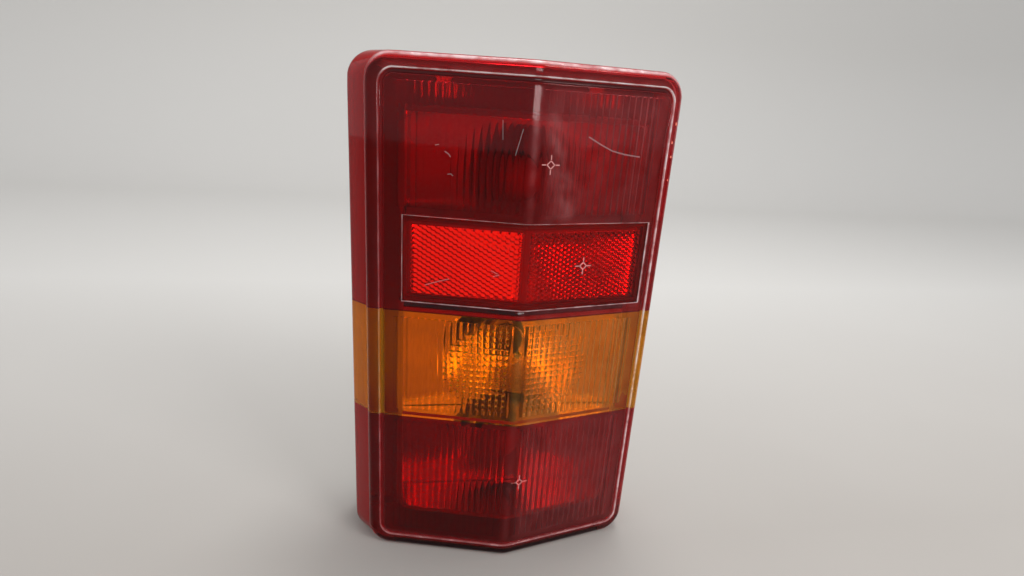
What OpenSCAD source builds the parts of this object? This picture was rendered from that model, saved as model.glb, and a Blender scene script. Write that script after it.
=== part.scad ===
// Rear lamp cluster of a car: a three-colour lens with a vertical ridge over a housing with three bulbs.
// X runs across the lamp, from the outboard side to the inboard side. Y runs into the car and Z runs up.
// The origin is the middle of the four mounting studs, on the face of the car body.

/* [Lens outline] */
// Height of the lens
lens_h = 270.5; // [262:0.5:290]
// Ridge to the outboard edge of the face
rim_outboard = 78.4; // [76:0.1:86]
// Ridge to the inboard edge of the face
rim_inboard = 76.5; // [75:0.1:84]
// How far the outboard side flares out behind the face
flare_out = 7.6; // [3:0.1:14]
// Length of the flare along the depth of the lamp
flare_back = 11.7; // [6:0.1:18]
// How far the ridge stands in front of the groove line
ridge_rise = 16.3; // [8:0.1:22]
// Radius of the rounded ridge
ridge_r = 15; // [6:0.5:24]
// Corner radius of the lens, seen from the front
corner_r = 13; // [8:0.5:18]
// Radius of the rounded edge around the face
edge_r = 3.5; // [1:0.1:5]
// Depth of the lens from the groove line to its rear edge
lens_depth = 34; // [30:0.5:44]
// Wall of the lens
lens_wall = 3; // [2.4:0.1:4]

/* [Groove in the face] */
// Ridge to the middle of the groove
groove_x = 70; // [66:0.1:71]
// Lens top or bottom to the middle of the groove
groove_inset = 8.4; // [7:0.1:12]
// Width of the groove
groove_w = 2.6; // [1:0.1:4]
// Depth of the groove
groove_d = 1.3; // [0.5:0.1:1.8]
// Corner radius at the middle of the groove
groove_r = 6; // [3:0.5:10]

/* [Colour zones] */
// Middle of the lens height down to the lower edge of the amber zone
amber_low = 48.5; // [44:0.1:54]
// Middle of the lens height up to the upper edge of the amber zone
amber_high = 12.2; // [8:0.1:14]

/* [Lens optics] */
// Spacing of the upright flutes inside the lens
flute_pitch = 3.5; // [2.5:0.1:6]
// Depth of a flute
flute_d = 0.5; // [0.2:0.05:0.9]
// Flat land left between two flutes
flute_land = 0.5; // [0.3:0.1:1]
// Plain margin between the flutes and the edge of a zone
flute_margin = 4; // [2:0.5:8]
// Spacing of the level bars in front of the turn bulb
bar_pitch = 3.3; // [2.5:0.1:6]
// Depth of the level bars
bar_d = 0.6; // [0.2:0.05:0.8]
// Width of the level bars
bar_w = 1.2; // [0.6:0.1:1.6]
// Half width of the field of level bars
bar_reach = 40; // [20:1:50]

/* [Chip in the ridge] */
// Middle of the lens height down to the chip
chip_low = 6.4; // [0:0.1:20]
// Ridge to the chip, towards the outboard side
chip_side = 0.6; // [0:0.1:1.5]
// Radius of the chip
chip_r = 1.9; // [1:0.1:3]
// Depth of the chip
chip_d = 1.1; // [0.5:0.1:1.8]

/* [Reflex reflector] */
// Ridge to the outboard end of the reflex reflector
reflex_outboard = 59.6; // [50:0.1:62]
// Ridge to the inboard end of the reflex reflector
reflex_inboard = 65.8; // [50:0.1:66]
// Middle of the lens height up to the lower edge of the reflex reflector
reflex_low = 17.8; // [17:0.1:24]
// Middle of the lens height up to the upper edge of the reflex reflector
reflex_high = 61.5; // [54:0.1:66]
// Thickness of the reflex reflector at its border
reflex_t = 2.2; // [1.6:0.1:3]
// Gap between the reflex reflector and its window
reflex_gap = 0.2; // [0.1:0.05:0.4]
// Plain border around the prisms
reflex_border = 3.2; // [2:0.1:5]
// Spacing of the prisms
prism_pitch = 2.5; // [2.3:0.1:4]
// Wall of the cover behind the prisms
cover_wall = 1.5; // [1:0.1:2.5]

/* [Housing] */
// Thickness of the mounting flange
flange_t = 3; // [2:0.1:5]
// Width of the box that holds the reflectors
box_w = 122; // [112:0.5:124]
// Lens top or bottom to the box
box_inset = 23.25; // [21:0.05:26]
// Corner radius of the box
box_r = 8; // [5:0.5:12]
// Wall of the box
box_wall = 2.5; // [1.8:0.1:3]
// How far the box reaches behind the car body's face
box_back = 12.5; // [10:0.5:16]
// Thickness of the two walls between the chambers
shelf_t = 2; // [1.5:0.1:3]
// Height of the locating rib inside the lens
rib_h = 6; // [3:0.5:10]
// Thickness of the locating rib
rib_t = 2; // [1.5:0.1:3]
// Gap between the locating rib and the lens
rib_gap = 0.6; // [0.4:0.1:1]
// Gap between the chamber walls and the lens
front_gap = 1.6; // [1:0.1:3]

/* [Seals] */
// Thickness of the seal between the lens and the housing
seal_t = 1.5; // [1:0.1:2.5]
// Thickness of the gasket on the car body
gasket_t = 3; // [2:0.1:5]
// Width of the gasket on the car body
gasket_w = 12; // [8:0.5:14]

/* [Reflectors] */
// Focal length of the reflector bowls
focal = 10; // [8:0.5:12]
// Rim radius of the turn lamp's bowl
bowl_r_turn = 37; // [30:0.5:42]
// Rim radius of the stop and fog lamps' bowls
bowl_r = 28.5; // [22:0.5:29.5]
// Wall of the reflectors
mirror_wall = 1.5; // [1:0.1:2]
// Gap between a reflector and the chamber walls
mirror_gap = 0.4; // [0.2:0.1:0.8]
// Radius of the bulb hole in a bowl
bowl_hole_r = 14; // [13.2:0.1:16]

/* [Bulbs and sockets] */
// Radius of a bulb's glass
glass_r = 12.5; // [9:0.1:13]
// Length of the glass in front of the cap
glass_len = 32.5; // [28:0.5:36]
// Thickness of the glass
glass_t = 0.8; // [0.5:0.1:1.2]
// Radius of the bulb's cap
cap_r = 7.5; // [6:0.1:8.5]
// Length of the bulb's cap
cap_len = 17; // [14:0.5:20]
// Radius of the two bayonet pins
pin_r = 1; // [0.6:0.1:1.3]
// Gap between the cap and its socket
socket_gap = 0.2; // [0.1:0.05:0.4]
// Wall of the sheet metal socket
socket_wall = 0.6; // [0.4:0.1:1]
// Where the front edge of the cap lies behind the car body's face
cap_front = 3; // [1:0.5:5]
// Height of the contact button under a bulb
button_h = 2; // [1:0.1:3]
// Front edge of the cap to the bayonet pins
pin_back = 5; // [3:0.1:7]
// How far the glass reaches into its cap
glass_foot = 4; // [3:0.1:6]
// Thickness of a socket's insulating base
base_t = 2; // [1.5:0.1:3]

/* [Bulb carrier] */
// Thickness of the carrier plate
carrier_t = 2.5; // [2:0.1:4]
// Wall of the collars around the sockets
collar_wall = 2; // [1:0.1:3]
// How far the collars reach into the housing
collar_h = 4; // [2:0.5:6]
// Thickness of the carrier's seal
carrier_seal_t = 1.5; // [1:0.1:2]
// Thickness of the contact strips
strip_t = 0.8; // [0.5:0.1:1.2]
// Width of the contact strips
strip_w = 6.3; // [4:0.1:8]
// Ridge to the terminal tabs
tab_x = 38; // [32:0.5:44]
// Length of the terminal tabs
tab_len = 9; // [6:0.5:12]
// Width of the rings around the sockets in the earth strip
ring_w = 3; // [2:0.1:4]

/* [Fixings] */
// Distance between the studs across the lamp
stud_dx = 80; // [60:1:100]
// Lens top or bottom to the studs
stud_inset = 14.25; // [12.5:0.05:15.5]
// Radius of a stud
stud_r = 2.5; // [2:0.25:3]
// How far a stud reaches behind the car body's face
stud_reach = 20; // [14:0.5:28]
// Radius of a stud's neck in the flange and the gasket
neck_r = 2.9; // [2.6:0.1:3.4]
// Radius of a stud's head
stud_head_r = 5; // [4:0.1:5.2]
// Thickness of a stud's head
stud_head_t = 2.5; // [2:0.1:4]
// Radius of a carrier screw
screw_r = 1.5; // [1.2:0.1:2]
// Length of a carrier screw
screw_len = 12; // [8:0.5:16]
// Inside of the box to the screws
screw_inset = 5; // [4:0.1:6]
// Radius of the bosses around the screws
boss_r = 5.6; // [5:0.1:7]
// Gap around a stud or a screw in its hole
hole_gap = 0.15; // [0.1:0.05:0.3]

/* [Hidden] */

// Angle of the two halves of the face
tilt = atan(ridge_rise / groove_x);
// Angle between the outboard flare and the depth of the lamp
flare = atan(flare_out / flare_back);
half_h = lens_h / 2;
box_h = lens_h - 2 * box_inset;
stud_dz = lens_h - 2 * stud_inset;
// Depths, from the car body forwards
y_flange_back = -gasket_t;
y_flange = y_flange_back - flange_t;
y_joint = y_flange - seal_t;
y_groove = y_joint - lens_depth;
y_ridge = y_groove - ridge_rise;
y_ridge_centre = y_ridge + ridge_r / cos(tilt);
// Widest points of the lens
x_out = -(rim_outboard + flare_out);
x_in = rim_inboard;
y_flare = face_y(rim_outboard) + flare_back;
// Colour zones over the stud centre
z_amber_low = -amber_low;
z_amber_high = amber_high;
z_reflex_low = reflex_low;
z_reflex_high = reflex_high;
// Inside of the box at its top and bottom
z_box = box_h / 2 - box_wall;
// Heights of the three lamps: the lower two in the middle of their chambers, the upper one over the reflex
stop_z = z_reflex_high + (z_box - z_reflex_high) * 0.34;
turn_z = (z_amber_high + z_amber_low) / 2;
fog_z = (z_amber_low - shelf_t / 2 - z_box) / 2;
// Half the width of a flute, and its radius
flute_half = (flute_pitch - flute_land) / 2;
flute_r = (pow(flute_half, 2) + pow(flute_d, 2)) / (2 * flute_d);
// Spacing of the points of the prisms, and the step from one level to the next
prism_side = prism_pitch / sqrt(3);
prism_row = prism_pitch / 2;
prism_step = prism_side / sqrt(2);
prism_base = 0.3;
prism_top = reflex_t + prism_base + 2 * prism_step;
cover_room = prism_top + 0.4;
// The carrier's two faces, and the rear ends of bulb and socket
y_carrier = box_back + carrier_seal_t;
y_carrier_back = y_carrier + carrier_t;
y_cap_back = cap_front + cap_len;
y_base = y_cap_back + button_h;
y_base_back = y_base + base_t;
socket_r = cap_r + socket_gap + socket_wall;
// The earth strip's spine runs beside the sockets
spine_x = socket_r + 1;
screw_x = box_w / 2 - box_wall - screw_inset;
screw_z = z_box - screw_inset;
// The apex of every bowl lies one focal length behind the middle of the filament
filament_y = cap_front - glass_len * 0.4;
y_apex = filament_y + focal;
// Roundness of true curves, and of the rounded edges of the lens
$fn = 64;
arc_steps = 8;
edge_steps = 6;
far = 400;

// Front face of the lens at a distance from the ridge
function face_y(x) = y_ridge + abs(x) * tan(tilt);

// A point of one half of the face: along the panel, into the lens and up
function panel_point(side, u, w, z) = [
    side * (u * cos(tilt) - w * sin(tilt)),
    y_ridge + u * sin(tilt) + w * cos(tilt),
    z
];

// Points of the rounded front corner of one half, above or below
function corner_points(side, rim, up) = [
    for (i = [0 : arc_steps], j = [0 : edge_steps])
        let (
            a = 90 * i / arc_steps,
            b = 90 * j / edge_steps,
            r = corner_r - edge_r + edge_r * sin(b),
            u = rim / cos(tilt) - corner_r + r * cos(a),
            z = half_h - corner_r + r * sin(a)
        )
        panel_point(side, u, edge_r * (1 - cos(b)), up * z)
];

// Points of the rounded end of the ridge
function ridge_points(up) = [
    for (i = [-2 : 2], j = [0 : edge_steps])
        let (
            a = tilt * i / 2,
            b = 90 * j / edge_steps,
            r = ridge_r - edge_r + edge_r * cos(b)
        )
        [r * sin(a), y_ridge_centre - r * cos(a), up * (half_h - edge_r + edge_r * sin(b))]
];

// Points of a rounded corner of the straight side at one depth
function side_points(x, y, side, up) = [
    for (i = [0 : arc_steps])
        let (a = 90 * i / arc_steps)
        [
            x + side * corner_r * (cos(a) - 1),
            y,
            up * (half_h + corner_r * (sin(a) - 1))
        ]
];

// Draws a flat shape given as X and Z, from one depth to another
module between(y0, y1) {
    translate([0, y1, 0])
        rotate([90, 0, 0])
            linear_extrude(height = y1 - y0) children();
}

// Draws a plan given as X and Y, from one height to another
module upright(z0, z1) {
    translate([0, 0, z0]) linear_extrude(height = z1 - z0) children();
}

// Puts children on one half of the face: X along the panel, Y into the lens
module on_panel(side) {
    mirror([side < 0 ? 1 : 0, 0, 0])
        translate([0, y_ridge, 0])
            rotate([0, 0, tilt]) children();
}

// A rectangle with round corners
module round_box(x0, x1, z0, z1, r) {
    translate([x0 + r, z0]) square([x1 - x0 - 2 * r, z1 - z0]);
    translate([x0, z0 + r]) square([x1 - x0, z1 - z0 - 2 * r]);
    for (x = [x0 + r, x1 - r], z = [z0 + r, z1 - r]) translate([x, z]) circle(r = r);
}

// The lens outline seen from the front, drawn in by a distance
module lens_outline(inset) {
    round_box(x_out + inset, x_in - inset, inset - half_h, half_h - inset, corner_r - inset);
}

// A V-shaped layer behind the face, from one depth under it to another
module v_layer(x0, x1, w0, w1) {
    c = 1 / cos(tilt);
    polygon([
        [-x0, face_y(x0) + w0 * c], [0, y_ridge + w0 * c], [x1, face_y(x1) + w0 * c],
        [x1, face_y(x1) + w1 * c], [0, y_ridge + w1 * c], [-x0, face_y(x0) + w1 * c]
    ]);
}

// Everything in front of a V-shaped surface at a depth under the face
module v_front(w) {
    c = w / cos(tilt);
    polygon([
        [-far, face_y(far) + c], [0, y_ridge + c], [far, face_y(far) + c], [far, -far], [-far, -far]
    ]);
}

// Solid outer form of the lens
module lens_form() {
    points = concat(
        corner_points(-1, rim_outboard, 1), corner_points(-1, rim_outboard, -1),
        corner_points(1, rim_inboard, 1), corner_points(1, rim_inboard, -1),
        ridge_points(1), ridge_points(-1),
        side_points(x_out, y_flare, -1, 1), side_points(x_out, y_flare, -1, -1),
        side_points(x_out, y_joint, -1, 1), side_points(x_out, y_joint, -1, -1),
        side_points(x_in, y_joint, 1, 1), side_points(x_in, y_joint, 1, -1)
    );
    hull() polyhedron(points = points, faces = [for (i = [0 : 3 : len(points) - 3]) [i, i + 1, i + 2]]);
}

// Hollow inside of the lens, open to the rear
module lens_cavity() {
    front = lens_wall / cos(tilt);
    x_front = rim_inboard - edge_r * sin(tilt) - lens_wall;
    flare_shift = lens_wall * tan(flare / 2);
    inner_r = corner_r - lens_wall;
    x_wall = x_out + lens_wall;
    y_wall = y_flare + flare_shift;
    run = flare_back + lens_wall * 2;
    intersection() {
        upright(-half_h, half_h) polygon([
            [x_wall, y_joint + 1],
            [x_wall, y_wall],
            [x_wall + run * tan(flare), y_wall - run],
            [x_wall + run * tan(flare), -far],
            [0, -far],
            [x_front, -far],
            [x_front, face_y(rim_inboard)],
            [x_in - lens_wall, y_joint],
            [x_in - lens_wall, y_joint + 1]
        ]);
        difference() {
            between(y_ridge, y_joint + 1) lens_outline(lens_wall);
            upright(-half_h, half_h) v_front(lens_wall);
        }
        translate([x_wall, y_wall, 0])
            rotate([0, 0, flare])
                between(-far, far) round_box(0, far, lens_wall - half_h, half_h - lens_wall, inner_r);
    }
}

// Groove around the face on one half
module face_groove(side) {
    u = groove_x / cos(tilt);
    z = half_h - groove_inset;
    w = groove_w / 2;
    on_panel(side) between(-1, groove_d) intersection() {
        difference() {
            round_box(-u - w, u + w, -z - w, z + w, groove_r + w);
            round_box(w - u, u - w, w - z, z - w, groove_r - w);
        }
        translate([0, -half_h]) square([far, lens_h]);
    }
}

// Upright flutes cut into the inside of one half, between two heights
module flutes(side, z0, z1) {
    reach = groove_x / cos(tilt) - flute_margin;
    start = ridge_r * tan(tilt) + flute_pitch / 2;
    for (u = [start : flute_pitch : reach])
        on_panel(side)
            translate([u, lens_wall + flute_r - flute_d, z0]) cylinder(r = flute_r, h = z1 - z0);
}

// Level V-shaped bars cut across the flutes in front of the turn bulb, shorter above and below
module bars(side) {
    start = ridge_r * tan(tilt) + flute_pitch / 2;
    rows = floor((z_amber_high - z_amber_low - 2 * flute_margin - bar_pitch) / 2 / bar_pitch);
    middle = (z_amber_low + z_amber_high) / 2;
    clear = 0.5;
    half = bar_w / 2 * (bar_d + clear) / bar_d;
    for (k = [-rows : rows])
        on_panel(side)
            translate([start, lens_wall, middle + k * bar_pitch])
                rotate([90, 0, 90])
                    linear_extrude(height = (bar_reach - start) * sqrt(1 - pow(k / (rows + 1), 2)))
                        polygon([[clear, -half], [clear, half], [-bar_d, 0]]);
}

// Chip knocked out of the rounded ridge
module chip() {
    front = y_ridge_centre - ridge_r;
    clear = 1;
    translate([-chip_side, front - clear, -chip_low])
        rotate([-90, 0, 0])
            cylinder(r1 = chip_r * (chip_d + clear) / chip_d, r2 = 0.2, h = chip_d + clear, $fn = 7);
}

// One colour of the lens, between two heights
module lens_zone(z0, z1) {
    difference() {
        intersection() {
            lens_form();
            translate([-far / 2, -far / 2, z0]) cube([far, far, z1 - z0]);
        }
        lens_cavity();
        face_groove(-1);
        face_groove(1);
        children();
    }
}

module lens_red_upper() {
    color([0.55, 0.03, 0.06]) lens_zone(z_amber_high, half_h + 1) {
        upright(z_reflex_low, z_reflex_high)
            v_layer(reflex_outboard, reflex_inboard, -lens_wall, 4 * lens_wall);
        for (side = [-1, 1])
            flutes(side, z_reflex_high + flute_margin, half_h - groove_inset - flute_margin);
    }
}

module lens_amber() {
    color([0.92, 0.52, 0.05]) lens_zone(z_amber_low, z_amber_high) {
        for (side = [-1, 1]) flutes(side, z_amber_low + flute_margin, z_amber_high - flute_margin);
        for (side = [-1, 1]) bars(side);
        chip();
    }
}

module lens_red_lower() {
    color([0.55, 0.03, 0.06]) lens_zone(-half_h - 1, z_amber_low)
        for (side = [-1, 1])
            flutes(side, groove_inset - half_h + flute_margin, z_amber_low - flute_margin);
}

// Field of corner prisms: each point lies on one of three levels, so three square faces meet in each corner
module prism_field(width, height, root) {
    n = floor(width / prism_side);
    m = 2 * floor(height / prism_row / 2);
    function shift(k) = k % 2 == 0 ? 0 : 0.5;
    function count(k) = k % 2 == 0 ? n + 1 : n + 2;
    function place(i, k) = k % 2 == 0 ? i : min(max(i - 0.5, 0), n);
    function end(i, k) = k % 2 == 1 && (i == 0 || i == n + 1);
    function level(i, k) = end(i, k) ? 1 : (k % 2 == 0 ? i % 3 : (i + 1) % 3);
    starts = [for (k = 0, s = 0; k <= m; s = s + count(k), k = k + 1) s];
    total = starts[m] + count(m);
    tops = [
        for (k = [0 : m], i = [0 : count(k) - 1])
            [place(i, k) * prism_side, reflex_t + prism_base + level(i, k) * prism_step, k * prism_row]
    ];
    rim = concat(
        [for (i = [0 : n]) i],
        [for (k = [1 : m]) starts[k] + count(k) - 1],
        [for (i = [n - 1 : -1 : 0]) starts[m] + i],
        [for (k = [m - 1 : -1 : 1]) starts[k]]
    );
    size = len(rim);
    feet = [for (i = rim) [tops[i][0], root, tops[i][2]]];
    up_faces = [
        for (k = [0 : 2 : m - 1], i = [0 : n])
            [starts[k] + i, starts[k + 1] + i + 1, starts[k + 1] + i]
    ];
    up_faces_2 = [
        for (k = [0 : 2 : m - 1], i = [0 : n - 1])
            [starts[k] + i, starts[k] + i + 1, starts[k + 1] + i + 1]
    ];
    down_faces = [
        for (k = [1 : 2 : m - 1], i = [0 : n])
            [starts[k] + i, starts[k] + i + 1, starts[k + 1] + i]
    ];
    down_faces_2 = [
        for (k = [1 : 2 : m - 1], i = [0 : n - 1])
            [starts[k + 1] + i, starts[k] + i + 1, starts[k + 1] + i + 1]
    ];
    walls = [
        for (i = [0 : size - 1])
            let (j = (i + 1) % size)
            [rim[j], rim[i], total + i, total + j]
    ];
    floor_faces = [
        for (i = [0 : size - 1])
            [total + size, total + (i + 1) % size, total + i]
    ];
    translate([(width - n * prism_side) / 2, 0, (height - m * prism_row) / 2]) polyhedron(
        points = concat(tops, feet, [[n * prism_side / 2, root, m * prism_row / 2]]),
        faces = concat(up_faces, up_faces_2, down_faces, down_faces_2, walls, floor_faces)
    );
}

module reflex_reflector() {
    g = reflex_gap;
    start = 2;
    color([0.85, 0.1, 0.05]) {
        upright(z_reflex_low + g, z_reflex_high - g)
            v_layer(reflex_outboard - g, reflex_inboard - g, 0.2, reflex_t);
        for (side = [-1, 1]) {
            reach = (side < 0 ? reflex_outboard : reflex_inboard) / cos(tilt) - reflex_border - start;
            on_panel(side)
                translate([start, 0, z_reflex_low + reflex_border])
                    prism_field(reach, z_reflex_high - z_reflex_low - 2 * reflex_border, reflex_t - 0.6);
        }
    }
}

module reflex_cover() {
    g = reflex_gap;
    rim = reflex_border - 1;
    color([0.25, 0.25, 0.27]) difference() {
        upright(z_reflex_low + g, z_reflex_high - g)
            v_layer(reflex_outboard - g, reflex_inboard - g, reflex_t, cover_room + cover_wall);
        upright(z_reflex_low + rim, z_reflex_high - rim)
            v_layer(reflex_outboard - rim, reflex_inboard - rim, reflex_t - 1, cover_room);
    }
}

module lens_seal() {
    color([0.75, 0.75, 0.72]) between(y_joint, y_flange) difference() {
        lens_outline(0.4);
        lens_outline(lens_wall + rib_gap - 0.2);
    }
}

// Outline of the box, drawn in by a distance
module box_outline(inset) {
    w = box_w / 2 - inset;
    h = box_h / 2 - inset;
    round_box(-w, w, -h, h, max(box_r - inset, 1));
}

// Rim plane of a bowl, seen along the depth of the lamp
function rim_y(r) = y_apex - pow(r, 2) / (4 * focal);

// Ledges on the side walls that a reflector rests on
module ledges(z0, z1, y) {
    w = box_w / 2 - box_wall;
    ledge = 3;
    for (x = [-w - 0.5, w - ledge])
        translate([x, y, z0]) cube([ledge + 0.5, y_flange - y, z1 - z0]);
}

module housing() {
    inner_w = box_w - 2 * box_wall + 1;
    color([0.62, 0.62, 0.6]) difference() {
        union() {
            between(y_flange, y_flange_back) lens_outline(0);
            between(y_flange - rib_h, y_flange) difference() {
                lens_outline(lens_wall + rib_gap);
                lens_outline(lens_wall + rib_gap + rib_t);
            }
            between(y_ridge, box_back) box_outline(0);
        }
        difference() {
            between(y_ridge - 1, box_back + 1) box_outline(box_wall);
            for (z = [z_amber_low, z_amber_high])
                translate([-inner_w / 2, y_ridge, z - shelf_t / 2])
                    cube([inner_w, box_back - 3 - y_ridge, shelf_t]);
            ledges(-z_box, z_amber_low, rim_y(bowl_r) + mirror_wall);
            ledges(z_amber_low, z_amber_high, rim_y(bowl_r_turn) + mirror_wall);
            ledges(z_amber_high, z_box, rim_y(bowl_r) + mirror_wall);
            for (x = [-screw_x, screw_x], z = [-screw_z, screw_z])
                translate([x, box_back, z]) rotate([90, 0, 0]) cylinder(r = boss_r, h = screw_len + 2);
        }
        upright(-half_h, half_h) v_front(lens_wall + front_gap);
        upright(z_reflex_low - 1, z_reflex_high + 1) v_front(cover_room + cover_wall + front_gap);
        for (x = [-1, 1], z = [-1, 1]) {
            translate([x * stud_dx / 2, 0, z * stud_dz / 2])
                rotate([90, 0, 0]) cylinder(r = neck_r + hole_gap, h = far);
            translate([x * screw_x, box_back + 1, z * screw_z])
                rotate([90, 0, 0]) cylinder(r = screw_r + hole_gap, h = screw_len);
        }
    }
}

module flange_gasket() {
    inset = half_h - stud_dz / 2 - gasket_w / 2;
    color([0.1, 0.1, 0.1]) difference() {
        between(y_flange_back, 0) difference() {
            lens_outline(inset);
            box_outline(-0.5);
        }
        for (x = [-1, 1], z = [-1, 1])
            translate([x * stud_dx / 2, 1, z * stud_dz / 2])
                rotate([90, 0, 0]) cylinder(r = neck_r + hole_gap, h = gasket_t + 2);
    }
}

module mounting_studs() {
    color([0.75, 0.72, 0.6]) for (x = [-1, 1], z = [-1, 1])
        translate([x * stud_dx / 2, 0, z * stud_dz / 2]) rotate([90, 0, 0]) {
            translate([0, 0, -stud_reach]) cylinder(r = stud_r, h = stud_reach + 1);
            cylinder(r = neck_r, h = -y_flange + 1);
            translate([0, 0, -y_flange]) cylinder(r = stud_head_r, h = stud_head_t);
            translate([0, 0, -stud_reach - 1]) cylinder(r1 = stud_r * 0.7, r2 = stud_r, h = 1);
        }
}

// A bowl and its plate, cut to the chamber between two heights
module reflector(z0, z1, zc, r) {
    low = z0 + mirror_gap;
    high = z1 - mirror_gap;
    y_rim = rim_y(r);
    steps = 10;
    hole = bowl_hole_r;
    inner = [for (i = [0 : steps]) let (q = hole + (r - hole) * i / steps) [q, pow(q, 2) / (4 * focal)]];
    outer = [for (p = inner) [p[0] + mirror_wall * 0.6, p[1] - mirror_wall * 0.8]];
    top = pow(r, 2) / (4 * focal);
    color([0.85, 0.85, 0.86]) intersection() {
        union() {
            difference() {
                translate([-box_w / 2, y_rim, low]) cube([box_w, mirror_wall, high - low]);
                translate([0, y_rim - 1, zc])
                    rotate([-90, 0, 0]) cylinder(r = r + mirror_wall * 0.3, h = mirror_wall + 2);
            }
            translate([0, y_apex, zc]) rotate([90, 0, 0]) rotate_extrude() polygon(concat(
                inner,
                [[r + mirror_wall, top], [r + mirror_wall, top - mirror_wall]],
                [for (i = [steps : -1 : 0]) outer[i]]
            ));
        }
        between(-far / 2, far / 2) intersection() {
            box_outline(box_wall + mirror_gap);
            translate([-box_w / 2, low]) square([box_w, high - low]);
        }
    }
}

module reflector_stop_tail() {
    reflector(z_amber_high + shelf_t / 2, z_box, stop_z, bowl_r);
}

module reflector_turn() {
    reflector(z_amber_low + shelf_t / 2, z_amber_high - shelf_t / 2, turn_z, bowl_r_turn);
}

module reflector_fog() {
    reflector(-z_box, z_amber_low - shelf_t / 2, fog_z, bowl_r);
}

// Turns a shape drawn up Z so that it points out of the lamp at a bulb's place
module at_bulb(y, z) {
    translate([0, y, z]) rotate([90, 0, 0]) children();
}

module bulb_carrier() {
    color([0.2, 0.2, 0.21]) difference() {
        union() {
            between(y_carrier, y_carrier_back) box_outline(0);
            for (z = [stop_z, turn_z, fog_z])
                at_bulb(y_carrier + carrier_t / 2, z)
                    cylinder(r = socket_r + collar_wall, h = collar_h + carrier_t / 2);
        }
        for (z = [stop_z, turn_z, fog_z])
            at_bulb(y_carrier_back + 1, z) cylinder(r = socket_r + socket_gap, h = far);
        for (x = [-screw_x, screw_x], z = [-screw_z, screw_z])
            translate([x, y_carrier_back + 1, z])
                rotate([90, 0, 0]) cylinder(r = screw_r + hole_gap, h = carrier_t + 2);
    }
}

module carrier_seal() {
    color([0.12, 0.12, 0.12]) between(box_back, y_carrier) difference() {
        box_outline(0.3);
        box_outline(box_wall - 0.3);
    }
}

module carrier_screws() {
    head_r = screw_r * 2;
    color([0.7, 0.7, 0.72]) for (x = [-screw_x, screw_x], z = [-screw_z, screw_z])
        translate([x, y_carrier_back, z]) rotate([90, 0, 0]) difference() {
            union() {
                cylinder(r = screw_r, h = screw_len);
                translate([0, 0, -1.6]) cylinder(r = head_r, h = 1.6);
            }
            for (a = [0, 90])
                rotate([0, 0, a]) translate([-head_r * 0.6, -0.35, -2]) cube([head_r * 1.2, 0.7, 1.2]);
        }
}

// Sheet metal sleeve with two slots for the bayonet pins
module socket(z) {
    back = y_base_back - 1;
    len = back - cap_front - 1;
    slot = 2 * pin_r + 0.6;
    slot_len = pin_back + pin_r;
    color([0.8, 0.68, 0.35]) at_bulb(back, z) difference() {
        cylinder(r = socket_r, h = len);
        translate([0, 0, -1]) cylinder(r = cap_r + socket_gap, h = len + 2);
        translate([-socket_r - 1, -slot / 2, len - slot_len]) cube([2 * socket_r + 2, slot, slot_len + 1]);
    }
}

module socket_stop_tail() {
    socket(stop_z);
}

module socket_turn() {
    socket(turn_z);
}

module socket_fog() {
    socket(fog_z);
}

// Insulating disc at the rear of a socket, with one contact for each filament
module socket_base(z, contacts) {
    color([0.6, 0.42, 0.22]) at_bulb(y_base_back, z) {
        cylinder(r = cap_r, h = base_t - 0.1);
        for (x = contacts) translate([x, 0, base_t - 0.1]) cylinder(r = 1.6, h = 0.1 + button_h * 0.4);
    }
}

module socket_base_stop_tail() {
    socket_base(stop_z, [-3, 3]);
}

module socket_base_turn() {
    socket_base(turn_z, [0]);
}

module socket_base_fog() {
    socket_base(fog_z, [0]);
}

// Stamped strip from a socket's rear to the carrier and out to a terminal tab
module feed_strip(side, z, x0) {
    t = strip_t;
    leg = spine_x + strip_w + 2.5;
    low = y_carrier_back;
    high = y_base_back;
    mirror([side < 0 ? 1 : 0, 0, 0])
        translate([0, 0, z - strip_w / 2]) linear_extrude(height = strip_w) polygon([
            [x0, high], [leg - t, high], [leg - t, low], [tab_x, low], [tab_x, low + tab_len],
            [tab_x - t, low + tab_len], [tab_x - t, low + t], [leg, low + t], [leg, high + t], [x0, high + t]
        ]);
}

module stop_strip() {
    color([0.85, 0.7, 0.3]) feed_strip(1, stop_z, 1);
}

module tail_strip() {
    color([0.85, 0.7, 0.3]) feed_strip(-1, stop_z, 1);
}

module turn_strip() {
    color([0.85, 0.7, 0.3]) feed_strip(1, turn_z, -3);
}

module fog_strip() {
    color([0.85, 0.7, 0.3]) feed_strip(1, fog_z, -3);
}

// Earth strip: a ring around each sleeve on one spine, with its own terminal tab
module earth_strip() {
    ring = socket_r + socket_gap / 2;
    spine = -spine_x;
    low = y_carrier_back;
    tab_z = (turn_z + fog_z) / 2;
    color([0.85, 0.7, 0.3]) {
        difference() {
            between(low, low + strip_t) {
                translate([spine - strip_w, fog_z - strip_w / 2])
                    square([strip_w, stop_z - fog_z + strip_w]);
                for (z = [stop_z, turn_z, fog_z]) {
                    translate([0, z]) circle(r = ring + ring_w);
                    translate([spine - 1, z - strip_w / 2]) square([-spine, strip_w]);
                }
                translate([-tab_x, tab_z - strip_w / 2]) square([tab_x + spine - strip_w / 2, strip_w]);
            }
            for (z = [stop_z, turn_z, fog_z])
                at_bulb(low + 2, z) cylinder(r = ring, h = 4);
        }
        translate([-tab_x, low, tab_z - strip_w / 2]) cube([strip_t, tab_len, strip_w]);
    }
}

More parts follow.
